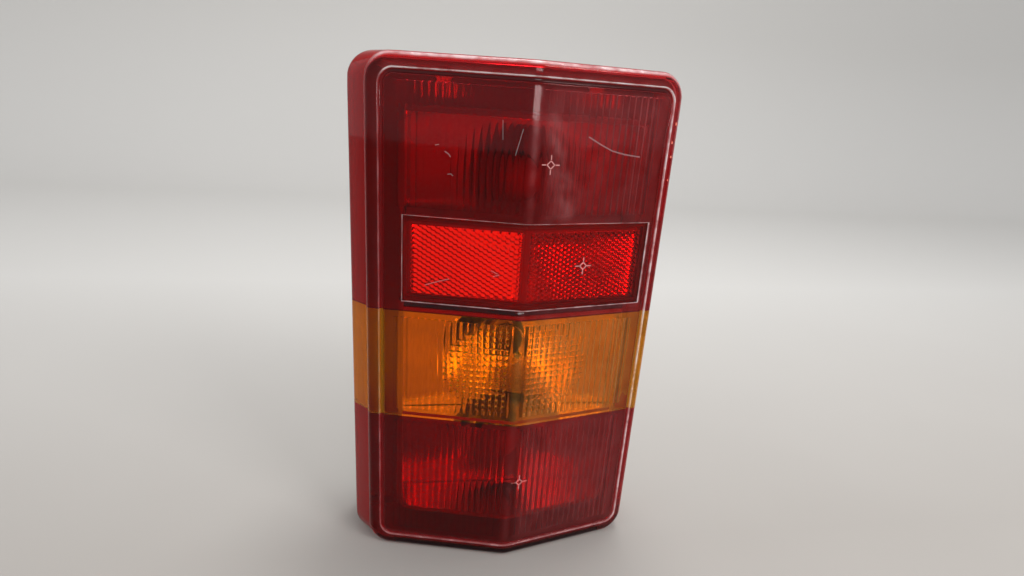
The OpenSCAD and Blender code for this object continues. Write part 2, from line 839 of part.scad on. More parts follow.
// Outline of a bulb's glass, half of it, drawn in by the thickness of the wall
module glass_half(inset) {
    neck = cap_r - 0.9 - inset;
    ball = glass_r - inset;
    zc = glass_len - glass_r;
    join = zc - ball * 0.55;
    intersection() {
        union() {
            translate([0, zc]) circle(r = ball);
            polygon([
                [0, inset - glass_foot], [neck, inset - glass_foot], [neck, 3], [ball * 0.835, join], [0, zc]
            ]);
        }
        translate([0, -far / 2]) square([far, far]);
    }
}

module bulb_glass(z) {
    color([0.9, 0.95, 1, 0.4]) at_bulb(cap_front, z) rotate_extrude() difference() {
        glass_half(0);
        glass_half(glass_t);
    }
}

module stop_tail_glass() {
    bulb_glass(stop_z);
}

module turn_glass() {
    bulb_glass(turn_z);
}

module fog_glass() {
    bulb_glass(fog_z);
}

// Brass cap with two bayonet pins and a contact button for each filament
module bulb_cap(z, contacts) {
    wall = 0.5;
    color([0.82, 0.72, 0.4]) at_bulb(cap_front, z) {
        difference() {
            translate([0, 0, -cap_len]) cylinder(r = cap_r, h = cap_len);
            translate([0, 0, -cap_len + 1]) cylinder(r = cap_r - wall, h = cap_len);
        }
        for (x = [-1, 1])
            translate([x * (cap_r - wall / 2), 0, -pin_back])
                rotate([0, x * 90, 0]) cylinder(r = pin_r, h = 1.4);
        for (x = contacts)
            translate([x, 0, -cap_len - button_h * 0.5]) cylinder(r = 1.8, h = button_h * 0.5 + 0.5);
    }
}

module stop_tail_cap() {
    bulb_cap(stop_z, [-3, 3]);
}

module turn_cap() {
    bulb_cap(turn_z, [0]);
}

module fog_cap() {
    bulb_cap(fog_z, [0]);
}

// Glass stem with two wires and a coiled filament for each height given
module filament(z, heights) {
    spread = 2.6;
    wire = 0.3;
    stem_r = cap_r - 4;
    color([0.5, 0.5, 0.52]) at_bulb(cap_front, z) {
        translate([0, 0, glass_t - glass_foot]) cylinder(r = stem_r, h = glass_foot + 3);
        for (h = heights) {
            for (x = [-spread, spread]) translate([x, h - heights[0], 0]) cylinder(r = wire, h = h + wire);
            translate([-spread, h - heights[0], h]) rotate([0, 90, 0]) cylinder(r = 0.6, h = 2 * spread);
        }
    }
}

module stop_tail_filaments() {
    filament(stop_z, [glass_len * 0.4, glass_len * 0.4 + 2]);
}

module turn_filament() {
    filament(turn_z, [glass_len * 0.4]);
}

module fog_filament() {
    filament(fog_z, [glass_len * 0.4]);
}

lens_red_upper();
lens_amber();
lens_red_lower();
reflex_reflector();
reflex_cover();
lens_seal();
housing();
flange_gasket();
mounting_studs();
reflector_stop_tail();
reflector_turn();
reflector_fog();
bulb_carrier();
carrier_seal();
carrier_screws();
socket_stop_tail();
socket_turn();
socket_fog();
socket_base_stop_tail();
socket_base_turn();
socket_base_fog();
earth_strip();
stop_strip();
tail_strip();
turn_strip();
fog_strip();
stop_tail_glass();
turn_glass();
fog_glass();
stop_tail_cap();
turn_cap();
fog_cap();
stop_tail_filaments();
turn_filament();
fog_filament();
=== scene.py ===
"""Dresses the tail lamp cluster: a ribbed lens in three colours over its housing, on a studio floor."""

import math

import bpy
import numpy as np
from mathutils import Matrix, Vector


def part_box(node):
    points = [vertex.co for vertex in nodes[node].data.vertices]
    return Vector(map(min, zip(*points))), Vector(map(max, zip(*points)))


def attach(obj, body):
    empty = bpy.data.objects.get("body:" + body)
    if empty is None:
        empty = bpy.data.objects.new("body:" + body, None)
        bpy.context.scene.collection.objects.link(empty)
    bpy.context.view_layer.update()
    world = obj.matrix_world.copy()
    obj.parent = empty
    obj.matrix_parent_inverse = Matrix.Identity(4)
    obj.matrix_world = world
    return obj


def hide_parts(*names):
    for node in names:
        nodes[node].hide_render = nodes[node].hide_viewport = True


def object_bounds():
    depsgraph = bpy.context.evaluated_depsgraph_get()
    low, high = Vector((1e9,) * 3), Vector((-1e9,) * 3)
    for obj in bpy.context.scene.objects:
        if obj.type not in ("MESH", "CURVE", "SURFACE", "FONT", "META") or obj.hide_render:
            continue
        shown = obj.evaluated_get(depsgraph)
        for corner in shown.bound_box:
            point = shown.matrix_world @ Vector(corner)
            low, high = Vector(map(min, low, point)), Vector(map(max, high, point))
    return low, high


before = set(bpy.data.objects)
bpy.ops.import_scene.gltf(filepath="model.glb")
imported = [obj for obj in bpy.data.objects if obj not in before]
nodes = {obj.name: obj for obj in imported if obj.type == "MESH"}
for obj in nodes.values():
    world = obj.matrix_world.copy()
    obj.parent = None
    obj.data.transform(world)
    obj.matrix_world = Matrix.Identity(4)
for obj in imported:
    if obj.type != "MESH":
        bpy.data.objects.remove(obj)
cad_bounds = [list(corner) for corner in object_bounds()]

MM = 0.001
TOUCH = 1e-6

# Lens sizes in millimetres, from the frame
UPPER_LOW, UPPER_HIGH = [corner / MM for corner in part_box("lens_red_upper")]
AMBER_LOW, AMBER_HIGH = [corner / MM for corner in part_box("lens_amber")]
REFLEX_LOW, REFLEX_HIGH = [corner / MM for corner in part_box("reflex_reflector")]
HALF_H = UPPER_HIGH.z
X_OUT = UPPER_LOW.x
X_IN = UPPER_HIGH.x
Y_JOINT = UPPER_HIGH.y
Z_RED_LOW = AMBER_LOW.z
Z_RED_HIGH = AMBER_HIGH.z

# Lens sizes in millimetres, as in the part's source
RIM_LEFT = 78.4
RIM_RIGHT = 76.5
FLARE_BACK = 11.7
FLARE_OUT = -X_OUT - RIM_LEFT
RIDGE_RISE = 16.3
RIDGE_R = 15
CORNER_R = 13
EDGE_R = 3.5
LENS_DEPTH = 34
LENS_WALL = 3
GROOVE_X = 70
GROOVE_INSET = 8.4
GROOVE_W = 2.6
GROOVE_D = 1.3
GROOVE_R = 6
FLUTE_PITCH = 3.5
FLUTE_D = 0.5
FLUTE_LAND = 0.5
FLUTE_MARGIN = 4
BAR_PITCH = 3.3
BAR_D = 0.6
BAR_W = 1.2
BAR_REACH = 40

# The seam between two colours, and the gap around the reflex reflector with its sunk edge
SEAM = 0.02
WINDOW_GAP = 0.35
WINDOW_SINK = 0.25
WINDOW_LEFT = -REFLEX_LOW.x + WINDOW_GAP
WINDOW_RIGHT = REFLEX_HIGH.x + WINDOW_GAP
WINDOW_LOW = REFLEX_LOW.z - WINDOW_GAP
WINDOW_HIGH = REFLEX_HIGH.z + WINDOW_GAP

# Slope of the two panels, depths of the ridge and the flare, and the round of a flute
TILT = math.atan(RIDGE_RISE / GROOVE_X)
SIN = math.sin(TILT)
COS = math.cos(TILT)
TAN = math.tan(TILT)
Y_RIDGE = Y_JOINT - LENS_DEPTH - RIDGE_RISE
Y_FLARE = Y_RIDGE + RIM_LEFT * TAN + FLARE_BACK
FLUTE_HALF = (FLUTE_PITCH - FLUTE_LAND) / 2
FLUTE_R = (FLUTE_HALF**2 + FLUTE_D**2) / (2 * FLUTE_D)
FLUTE_START = RIDGE_R * TAN + FLUTE_PITCH / 2
FLUTE_END = GROOVE_X / COS - FLUTE_MARGIN

# The field inside the groove, where its corners begin, and the round corner inside the lens
FIELD_X = 67
FIELD_Z = HALF_H - GROOVE_INSET - GROOVE_W / 2 - 1.7
CORNER_X = 61.5
CORNER_Z = 118.5
FIELD_R = 2
INNER_EDGE_R = 1

# Lines of the field's mesh: their least gaps, then where the extra ones lie
LEAST_COLUMN = 0.12
LEAST_ROW = 0.1
FLUTE_LINES = 9
FLUTE_STOP = 0.3
FLUTE_RAMP = 0.15
RIDGE_STEP = 0.4
WINDOW_STEP = 0.4
CHIP_SPAN = 3.2
CHIP_STEP = 0.35
END_ROWS = (2.2, 3.6)
ROW_START = 1.5
ROW_STOP = 1
ROW_STEP = 6.1

# Rings around the field: steps of the rounded edge, flat before it, rings of the sides and their bend
EDGE_STEPS = 8
EDGE_FLAT = 0.3
SIDE_RINGS = 6
SOFT_BEND = 0.12

# A chip in the ridge of the amber zone, with painted shade darkening its pit
CHIP = (-0.6, -6.4)
CHIP_SIZE = (1.5, 2.2)
CHIP_DEPTH = 1.1
CHIP_SHADE = -0.8

# Painted highlights on the groove's outer lip and the rim's edge, and painted shade in the groove, at
# their top, bottom, left and right; then the painted highlight on the window's edge and painted
# reflections on the ridge, inboard panel and streak
LIP_HIGHLIGHT = (1, 0.42, 0.32, 0.9)
RIM_HIGHLIGHT = (0.75, 0.1, 0.06, 0.3)
GROOVE_SHADE = (-0.9, -0.5, -0.6, -0.6)
WINDOW_HIGHLIGHT = 0.9
RIDGE_REFLECTION = (0.1, 0.24)
PANEL_REFLECTION = 0.11
STREAK_REFLECTION = 0.12

# Share of each of these over the lines of the groove and the rim
GROOVE_SHADE_LINES = (0, 0.2, 0.8, 1, 1, 1, 1, 1, 1, 0.4)
LIP_HIGHLIGHT_LINES = (0.3, 0.8, 1, 1, 1, 0.2)
RIM_HIGHLIGHT_LINES = (0, 0, 0.3, 0.9, 1, 0.9, 0.2, 0, 0)

# Tints of the lens for light that goes through it once
RED = (0.5, 0.004, 0.008)
AMBER = (0.84, 0.335, 0.002)

# Share of the gloss that is left on the worn lens, and its colours under painted highlights and painted
# shade
GLOSS = (0.28, 0.28, 0.28)
HIGHLIGHT_COLOUR = (0.78, 0.72, 0.72)
SHADE_COLOUR = (0.008, 0.006, 0.006)
PLASTIC_IOR = 1.49
GLASS_IOR = 1.15

# Inside of the housing's box, with room for its lacquer
BOX_HALF_W = 58.7 * MM
BOX_HALF_H = 109.7 * MM

# The part of the reflex cover that lies behind the prisms
LINING_HALF_W = REFLEX_HIGH.x * MM - 0.004
LINING_LOW = REFLEX_LOW.z * MM + 0.0034
LINING_HIGH = REFLEX_HIGH.z * MM - 0.0034

# Plain moulded marks of the lamps' centres, with half the size of their rings and the reach of
# their rays; and how deep every stroke is let into the face and stands out of it
CENTRE_MARKS = [(8.4, 90.0), (30.8, 40.0), (5.8, -85.0)]
MARK_RING = 1.9
MARK_RAY = (2.3, 4.5)
MARK_WIDTH = 0.45
STROKE_IN = 0.25
STROKE_OUT = 0.03

# Scratches in the face: width, then the places they run through
SCRATCHES = [
    (0.55, [(26.5, 103.4), (33, 100.2), (39.5, 97.4), (47, 95.8), (55.5, 94.9)]),
    (0.3, [(-8.6, 93.4), (-5.8, 105.4)]),
    (0.25, [(-15.1, 108.7), (-14.6, 100)]),
    (0.35, [(-48.3, 27.2), (-42, 29.6), (-36.6, 31.4)]),
    (0.3, [(-16.5, 37.5), (-13.4, 36)]),
    (0.3, [(-15.5, 34.5), (-12.5, 35.6)]),
    (0.4, [(-40.5, 93), (-38.6, 91.8), (-37.8, 90.6)]),
    (0.35, [(-39, 82.6), (-37.4, 82.9), (-36.4, 82)]),
    (0.3, [(-45, 95.5), (-43.2, 95.9)]),
]

# Nicks in the rim: width, then their two ends
NICKS = [
    (0.9, [(73.6, 112.2), (73.8, 110.8)]),
    (0.8, [(72.9, 103), (73, 101.8)]),
    (0.7, [(73.4, 96), (73.5, 94.9)]),
    (0.6, [(73.6, 84.2), (73.6, 83.3)]),
]

# Camera, found from the lamp's own edges in the photograph
CAMERA_AT = (-0.0528, -0.3202, 0.11865)
CAMERA_PITCH = math.radians(-18.39)
CAMERA_YAW = math.radians(-10.07)
CAMERA_ROLL = math.radians(4.04)
SENSOR_WIDTH = 36
PHOTO_WIDTH = 1024
FOCAL_PIXELS = 572.3

# The studio's floor in metres: front end, where the sweep begins, its radius, height and half width
FLOOR_FRONT = -2.5
SWEEP_START = 1.1
SWEEP_R = 0.5
SWEEP_STEPS = 16
SWEEP_HEIGHT = 2.5
FLOOR_HALF_W = 3
# Floor colours: painted shade darkens the floor in front of the lamp, in two tones, fading to the far
# colour over this span of Y
FLOOR_NEAR_SHADED = [(0.35, 0.325, 0.3), (0.38, 0.355, 0.33)]
FLOOR_FAR = (0.6, 0.585, 0.56)
FLOOR_SHADE_FADE = (-0.05, 0.45)

# Light of the sky: an even part, lobes around a direction between two cosines, and what is seen
SKY_COLOUR = (0.97, 0.98, 1, 1)
SKY_BASE = 0.2
SKY_LOBES = [
    ((0, 0.2, 1), 0.1, 0.95, 0.6),
    ((0.9, -0.35, 0.15), 0.45, 0.95, 0.8),
    ((-0.9, 0.4, 0.1), 0.35, 0.95, 0.35),
    ((-0.13, -0.95, 0.28), 0.86, 0.97, 1.1),
]
SKY_SEEN = 0.95

# Soft lights: name, place, what they aim at, size and power
LIGHTS = [
    ("light_above", (0.15, 0.2, 1.3), (0, 0, 0), (0.5, 0.35), 10),
    ("light_right", (0.65, -0.78, 0.8), (0, 0, 0), (0.4, 0.4), 5),
    ("light_front", (0.12, -1.25, 0.16), (0, 0, 0.02), (0.5, 0.18), 3.6),
]


def panel_y(x, w):
    """Depth of the surface that lies w under the face, with the ridge rounded."""
    r = RIDGE_R - w
    flat = Y_RIDGE + np.abs(x) * TAN + w / COS
    bent = Y_RIDGE + RIDGE_R / COS - np.sqrt(np.maximum(r * r - x * x, 0))
    return np.where(np.abs(x) < r * SIN, bent, flat)


def flute_columns():
    """Distances from the ridge, along x, of the lines that draw the flutes."""
    steps = np.linspace(-FLUTE_HALF, FLUTE_HALF, FLUTE_LINES)
    centres = np.arange(FLUTE_START, FLUTE_END, FLUTE_PITCH)
    inner = (centres[:, None] + steps[None, :]).ravel() * COS - LENS_WALL * SIN
    return [x for x in inner if x < FIELD_X - FLUTE_STOP]


def spaced(fixed, loose, least):
    """All fixed values in order, with those loose ones that keep a distance from all kept before."""
    kept = sorted(set(fixed))
    for value in loose:
        if min(abs(value - other) for other in kept) > least:
            kept.append(value)
    return sorted(kept)


def columns():
    """Places of the upright lines of the field, from left to right."""
    loose = list(np.linspace(0, RIDGE_R * SIN, 9)) + [RIDGE_R * SIN + RIDGE_STEP] + flute_columns()
    left, right = (
        spaced([edge - WINDOW_STEP, edge, CORNER_X, FIELD_X], loose, LEAST_COLUMN)
        for edge in (WINDOW_LEFT, WINDOW_RIGHT)
    )
    return np.array([-x for x in reversed(left) if x > 0] + right)


def bar_rows():
    """Heights of the crests of the level bars, with the share of their reach."""
    count = math.floor((Z_RED_HIGH - Z_RED_LOW - 2 * FLUTE_MARGIN - BAR_PITCH) / 2 / BAR_PITCH)
    middle = (Z_RED_LOW + Z_RED_HIGH) / 2
    return [
        (middle + k * BAR_PITCH, math.sqrt(1 - (k / (count + 1)) ** 2))
        for k in range(-count, count + 1)
    ]


def flute_spans():
    """Lowest and highest end of the flutes in each zone."""
    return [
        (-HALF_H + GROOVE_INSET + FLUTE_MARGIN, Z_RED_LOW - FLUTE_MARGIN),
        (Z_RED_LOW + FLUTE_MARGIN, Z_RED_HIGH - FLUTE_MARGIN),
        (WINDOW_HIGH + FLUTE_MARGIN, HALF_H - GROOVE_INSET - FLUTE_MARGIN),
    ]


def rows():
    """Heights of the level lines of the field, from the bottom up."""
    fixed = [-FIELD_Z, FIELD_Z, -CORNER_Z, CORNER_Z]
    for z in (Z_RED_LOW, Z_RED_HIGH):
        fixed += [z - SEAM, z + SEAM]
    fixed += [WINDOW_LOW - WINDOW_STEP, WINDOW_LOW, WINDOW_HIGH, WINDOW_HIGH + WINDOW_STEP]
    for low, high in flute_spans():
        fixed += [low - FLUTE_RAMP, low, high, high + FLUTE_RAMP]
    loose = []
    for z, _ in bar_rows():
        loose += [z - BAR_W / 2, z, z + BAR_W / 2]
    loose += list(np.arange(CHIP[1] - CHIP_SPAN, CHIP[1] + CHIP_SPAN, CHIP_STEP))
    for inset in END_ROWS:
        loose += [-FIELD_Z + inset, FIELD_Z - inset]
    loose += list(np.arange(-FIELD_Z + ROW_START, FIELD_Z - ROW_STOP, ROW_STEP))
    return np.array(spaced(fixed, loose, LEAST_ROW))


def corner_share(lines, value, sign, start):
    """Share of the lines of one corner that are passed at one of them."""
    reach = lines * sign
    beyond = reach > start + TOUCH
    return np.sum(beyond & (reach <= abs(value) + TOUCH)) / np.sum(beyond)


class Border:
    """The points of the field's border, clockwise from the top left, which the rings follow."""

    def __init__(self, xs, zs):
        """Finds, for every point, its side, its place on the border and its angle in a corner."""
        nx = len(xs)
        nz = len(zs)
        top = [(i, nz - 1) for i in range(nx)]
        right = [(nx - 1, j) for j in range(nz - 2, -1, -1)]
        bottom = [(i, 0) for i in range(nx - 2, -1, -1)]
        left = [(0, j) for j in range(1, nz - 1)]
        self.index = np.array(top + right + bottom + left)
        self.x = xs[self.index[:, 0]]
        self.z = zs[self.index[:, 1]]
        self.side = np.where(self.x < 0, -1, 1)
        self.up = np.where(self.z < 0, -1, 1)
        on_level = np.abs(np.abs(self.z) - FIELD_Z) < TOUCH
        self.level = on_level & (np.abs(self.x) < CORNER_X + TOUCH)
        self.upright = ~on_level & (np.abs(self.z) < CORNER_Z + TOUCH)
        angle = np.zeros(len(self.x))
        for p in np.flatnonzero(~self.level & ~self.upright):
            if on_level[p]:
                angle[p] = 90 - 45 * corner_share(xs, self.x[p], self.side[p], CORNER_X)
            else:
                angle[p] = 45 * corner_share(zs, self.z[p], self.up[p], CORNER_Z)
        self.cos = np.where(self.level, 0, np.cos(np.radians(angle)))
        self.sin = np.where(self.level, 1, np.sin(np.radians(angle)))

    def panel_ring(self, left, right, z, r, w):
        """A ring on the panels, w under the face: half widths along them, half height, corner."""
        widest = np.where(self.side < 0, left, right)
        u = widest - r + r * self.cos
        x = np.where(self.level, self.x, self.side * (u * COS - w * SIN))
        y = np.where(self.level, panel_y(self.x, w), Y_RIDGE + u * SIN + w * COS)
        height = np.where(self.upright, self.z, self.up * (z - r + r * self.sin))
        return np.stack([x, y, height], 1)

    def depth_ring(self, left, right, z, r, y):
        """A ring at one depth, with its sizes across X and Z."""
        widest = np.where(self.side < 0, left, right)
        x = np.where(self.level, self.x, self.side * (widest - r + r * self.cos))
        height = np.where(self.upright, self.z, self.up * (z - r + r * self.sin))
        return np.stack([x, np.full(len(x), float(y)), height], 1)


def groove_profile():
    """Distances from the groove's middle and depths of its lines, from the inside out."""
    half = GROOVE_W / 2
    wall = [
        (0.42, 0),
        (0.2, 0.05),
        (0, 0.18),
        (-0.16, 0.4),
        (-0.28, 0.7),
        (-0.42, GROOVE_D - 0.25),
        (-0.62, GROOVE_D - 0.06),
        (-0.9, GROOVE_D),
    ]
    inner = [(-half - t, depth) for t, depth in wall]
    return inner + [(half + t, depth) for t, depth in reversed(wall)]


def ring_painted_light(border, shares):
    """Painted light along a ring, from its shares at the top, bottom, left and right."""
    top, bottom, left, right = shares
    upright = np.where(border.side < 0, left, right)
    level = np.where(border.up > 0, top, bottom)
    return upright * border.cos**2 + level * border.sin**2


def outer_painted_light(border):
    """Painted light of every ring of the outer surface: painted highlights where positive, painted
    shade where negative.
    """
    none = np.zeros(len(border.x))
    groove = [ring_painted_light(border, GROOVE_SHADE) * share for share in GROOVE_SHADE_LINES]
    groove += [ring_painted_light(border, LIP_HIGHLIGHT) * share for share in LIP_HIGHLIGHT_LINES]
    rim = [ring_painted_light(border, RIM_HIGHLIGHT) * share for share in RIM_HIGHLIGHT_LINES]
    return groove + [none] + rim + [none] * SIDE_RINGS


def edge_rings(border, left, right, z, corner, edge, w):
    """Rings over a rounded edge that begins w under the face, for sizes at its outer end."""
    rings = []
    for k in range(EDGE_STEPS + 1):
        b = math.pi / 2 * k / EDGE_STEPS
        inset = edge * (1 - math.sin(b))
        drop = w + edge * (1 - math.cos(b))
        rings.append(border.panel_ring(left - inset, right - inset, z - inset, corner - inset, drop))
    return rings


def side_rings(front, flare, rear):
    """Rings along the sides, with a soft bend where the flare meets the straight part."""
    before = flare + SOFT_BEND * (front - flare)
    after = flare + SOFT_BEND * (rear - flare) * 0.6
    bend = before / 4 + flare / 2 + after / 4
    start = front + 0.06 * (flare - front)
    return [start, before, bend, after, rear + 0.03 * (flare - rear), rear]


def outer_rings(border):
    """Rings of the outer surface from the field's border to the rear edge."""
    mid_u = GROOVE_X / COS
    mid_z = HALF_H - GROOVE_INSET
    left = RIM_LEFT / COS
    right = RIM_RIGHT / COS
    flat = EDGE_R + EDGE_FLAT
    rings = [
        border.panel_ring(mid_u + t, mid_u + t, mid_z + t, GROOVE_R + t, depth)
        for t, depth in groove_profile()
    ]
    rings.append(border.panel_ring(left - flat, right - flat, HALF_H - flat, CORNER_R - flat, 0))
    rings += edge_rings(border, left, right, HALF_H, CORNER_R, EDGE_R, 0)
    flare = border.depth_ring(-X_OUT, X_IN, HALF_H, CORNER_R, Y_FLARE)
    rear = border.depth_ring(-X_OUT, X_IN, HALF_H, CORNER_R, Y_JOINT)
    return rings + side_rings(rings[-1], flare, rear)


def inner_rings(border):
    """Rings of the inner surface, one for each ring of the outer one."""
    count = len(groove_profile()) + 1
    edge = INNER_EDGE_R
    top = HALF_H - LENS_WALL
    r = CORNER_R - LENS_WALL
    slope = FLARE_OUT / FLARE_BACK
    y_wall = Y_FLARE + LENS_WALL * math.tan(math.atan(slope) / 2)
    x_wall = -X_OUT - LENS_WALL
    left_x = (x_wall - slope * (y_wall - Y_RIDGE - LENS_WALL / COS)) / (1 - slope * TAN)
    right_x = RIM_RIGHT - EDGE_R * SIN - LENS_WALL
    left = (left_x + LENS_WALL * SIN) / COS
    right = (right_x + LENS_WALL * SIN) / COS
    field = (FIELD_X + LENS_WALL * SIN) / COS
    rings = []
    for k in range(1, count + 1):
        s = k / count
        rings.append(border.panel_ring(
            field + s * (left - edge - field), field + s * (right - edge - field),
            FIELD_Z + s * (top - edge - FIELD_Z), FIELD_R + s * (r - edge - FIELD_R), LENS_WALL
        ))
    rings += edge_rings(border, left, right, top, r, edge, LENS_WALL)
    bent = border.depth_ring(x_wall, X_IN - LENS_WALL, top, r, y_wall)
    rear = border.depth_ring(x_wall, X_IN - LENS_WALL, top, r, Y_JOINT)
    return rings + side_rings(rings[-1], bent, rear)


def chip_depth(x, z):
    """How deep the chip in the ridge goes at each point, with a ragged outline."""
    dx = (x - CHIP[0]) / CHIP_SIZE[0]
    dz = (z - CHIP[1]) / CHIP_SIZE[1]
    around = np.arctan2(dz, dx)
    ragged = 1 + 0.18 * np.sin(5 * around + 1) + 0.1 * np.sin(9 * around)
    distance = np.sqrt(dx * dx + dz * dz) / ragged
    uneven = 0.85 + 0.15 * np.sin(7 * dx + 4 * dz)
    return CHIP_DEPTH * np.clip(1.3 * (1 - distance), 0, 1) * uneven


def fade(value, start, length):
    """Rises from 0 at the start to 1 after the length."""
    return np.clip((value - start) / length, 0, 1)


def field_reflections(x, z):
    """Painted reflections on the outside of the field: the ridge most, growing towards the top, the
    inboard panel a little, and a streak on it.
    """
    low, high = RIDGE_REFLECTION
    ridge = np.exp(-(x / 2.2) ** 2) * (low + (high - low) * fade(z, 60, 60))
    across = (x - 9 - (104 - z) * 0.27) / 5
    streak = np.exp(-across**2) * fade(z, 55, 15) * fade(-z, -125, 15)
    return np.clip(ridge + PANEL_REFLECTION * fade(x, 2, 6) + STREAK_REFLECTION * streak, 0, 1)


def flute_depth(x, z):
    """How deep the flutes and the level bars cut into the inside of the lens at each point."""
    u = (np.abs(x) + LENS_WALL * SIN) / COS
    place = np.mod(u - FLUTE_START + FLUTE_PITCH / 2, FLUTE_PITCH) - FLUTE_PITCH / 2
    cut = np.sqrt(FLUTE_R**2 - np.clip(np.abs(place), 0, FLUTE_R) ** 2) - (FLUTE_R - FLUTE_D)
    fluted = (u > FLUTE_START - FLUTE_PITCH / 2) & (u < FLUTE_END)
    spans = np.zeros_like(fluted)
    for low, high in flute_spans():
        spans |= (z > low - SEAM / 2) & (z < high + SEAM / 2)
    depth = np.where(fluted & spans, np.maximum(cut, 0), 0)
    for height, share in bar_rows():
        reach = (BAR_REACH - FLUTE_START) * share + FLUTE_START
        bar = BAR_D * np.clip(1 - np.abs(z - height) / (BAR_W / 2), 0, 1)
        depth = np.maximum(depth, np.where((u < reach) & (u > FLUTE_START), bar, 0))
    return depth


def window_edge(x, z):
    """Whether a point of the field lies on the edge of the reflex reflector's window."""
    upright = (np.abs(x - WINDOW_RIGHT) < TOUCH) | (np.abs(x + WINDOW_LEFT) < TOUCH)
    level = (np.abs(z - WINDOW_LOW) < TOUCH) | (np.abs(z - WINDOW_HIGH) < TOUCH)
    tall = (z > WINDOW_LOW - TOUCH) & (z < WINDOW_HIGH + TOUCH)
    wide = (x > -WINDOW_LEFT - TOUCH) & (x < WINDOW_RIGHT + TOUCH)
    return (upright & tall) | (level & wide)


def surface_quads(xs, zs, border, total):
    """Quads of one surface, those of the sides last, and their zones, or -1 in a seam or window."""
    nx = len(xs)
    middles = (zs[:-1] + zs[1:]) / 2
    row_zone = np.searchsorted([Z_RED_LOW, Z_RED_HIGH], middles)
    for z in (Z_RED_LOW, Z_RED_HIGH):
        row_zone[np.abs(middles - z) < SEAM / 2] = -1
    column_in = (xs[:-1] > -WINDOW_LEFT - TOUCH) & (xs[1:] < WINDOW_RIGHT + TOUCH)
    row_in = (zs[:-1] > WINDOW_LOW - TOUCH) & (zs[1:] < WINDOW_HIGH + TOUCH)
    quads = []
    zones = []
    for j in range(len(zs) - 1):
        for i in range(nx - 1):
            start = j * nx + i
            quads.append((start, start + 1, start + nx + 1, start + nx))
            zones.append(-1 if row_in[j] and column_in[i] else row_zone[j])
    size = len(border.index)
    rings = [border.index[:, 1] * nx + border.index[:, 0]]
    rings += [np.arange(first, first + size) for first in range(nx * len(zs), total, size)]
    for ring, following in zip(rings, rings[1:]):
        for p in range(size):
            q = (p + 1) % size
            quads.append((ring[p], ring[q], following[q], following[p]))
            zones.append(row_zone[min(border.index[p, 1], border.index[q, 1], len(zs) - 2)])
    return quads, zones


def zone_shell(quads, zones, zone, side_start, total):
    """Faces of one zone as a closed shell, and which are frosted: the inside of the lens's sides."""
    front = [quad for quad, place in zip(quads, zones) if place == zone]
    plain = sum(place == zone for place in zones[:side_start])
    edges = {edge for a, b, c, d in front for edge in ((a, b), (b, c), (c, d), (d, a))}
    rear = [tuple(corner + total for corner in reversed(quad)) for quad in front]
    walls = [(b, a, a + total, b + total) for a, b in sorted(edges) if (b, a) not in edges]
    frosted = np.zeros(len(front) + len(rear) + len(walls), int)
    frosted[len(front) + plain:len(front) + len(rear)] = 1
    return front + rear + walls, frosted


def lens_meshes():
    """Points of the lens, their painted light, and for each zone its faces and which of them are
    frosted.
    """
    xs = columns()
    zs = rows()
    border = Border(xs, zs)
    grid_x, grid_z = np.meshgrid(xs, zs)
    edge = window_edge(grid_x, grid_z)
    chip = chip_depth(grid_x, grid_z)
    outer_y = panel_y(grid_x, 0) + chip + np.where(edge, WINDOW_SINK, 0)
    inner_y = panel_y(grid_x, LENS_WALL) - flute_depth(grid_x, grid_z) / COS
    outer_field, inner_field = (
        np.stack([grid_x.ravel(), y.ravel(), grid_z.ravel()], 1) for y in (outer_y, inner_y)
    )
    outer = np.concatenate([outer_field] + outer_rings(border))
    inner = np.concatenate([inner_field] + inner_rings(border))
    total = len(outer)

    # Painted light on the field: painted reflections on the panels, the painted highlight on the
    # window's edge, and painted shade in the chip's pit
    field = np.maximum(field_reflections(grid_x, grid_z), np.where(edge, WINDOW_HIGHLIGHT, 0))
    field = np.where(chip > 0.1, CHIP_SHADE, field)
    painted_light = np.concatenate([field.ravel()] + outer_painted_light(border) + [np.zeros(len(inner))])

    quads, zones = surface_quads(xs, zs, border, total)
    side_start = len(quads) - SIDE_RINGS * len(border.index)
    shells = [zone_shell(quads, zones, zone, side_start, total) for zone in range(3)]
    return np.concatenate([outer, inner]) * MM, painted_light, shells


def make_mesh(name, points, faces, materials, slots=None, painted_light=None):
    """A mesh object from the points that its faces use, smooth but for its sharp edges."""
    used, places = np.unique(np.array(faces).ravel(), return_inverse=True)
    mesh = bpy.data.meshes.new(name)
    mesh.from_pydata(points[used].tolist(), [], places.reshape(len(faces), -1).tolist())
    mesh.polygons.foreach_set("use_smooth", [True] * len(mesh.polygons))
    mesh.set_sharp_from_angle(angle=math.radians(35))
    for material in materials:
        mesh.materials.append(material)
    if slots is not None:
        mesh.polygons.foreach_set("material_index", slots)
    # Painted light at each point: painted highlights above 0, painted shade below 0
    if painted_light is not None:
        mesh.attributes.new("painted_light", "FLOAT", "POINT").data.foreach_set("value", painted_light[used])
    piece = bpy.data.objects.new(name, mesh)
    bpy.context.scene.collection.objects.link(piece)
    return piece


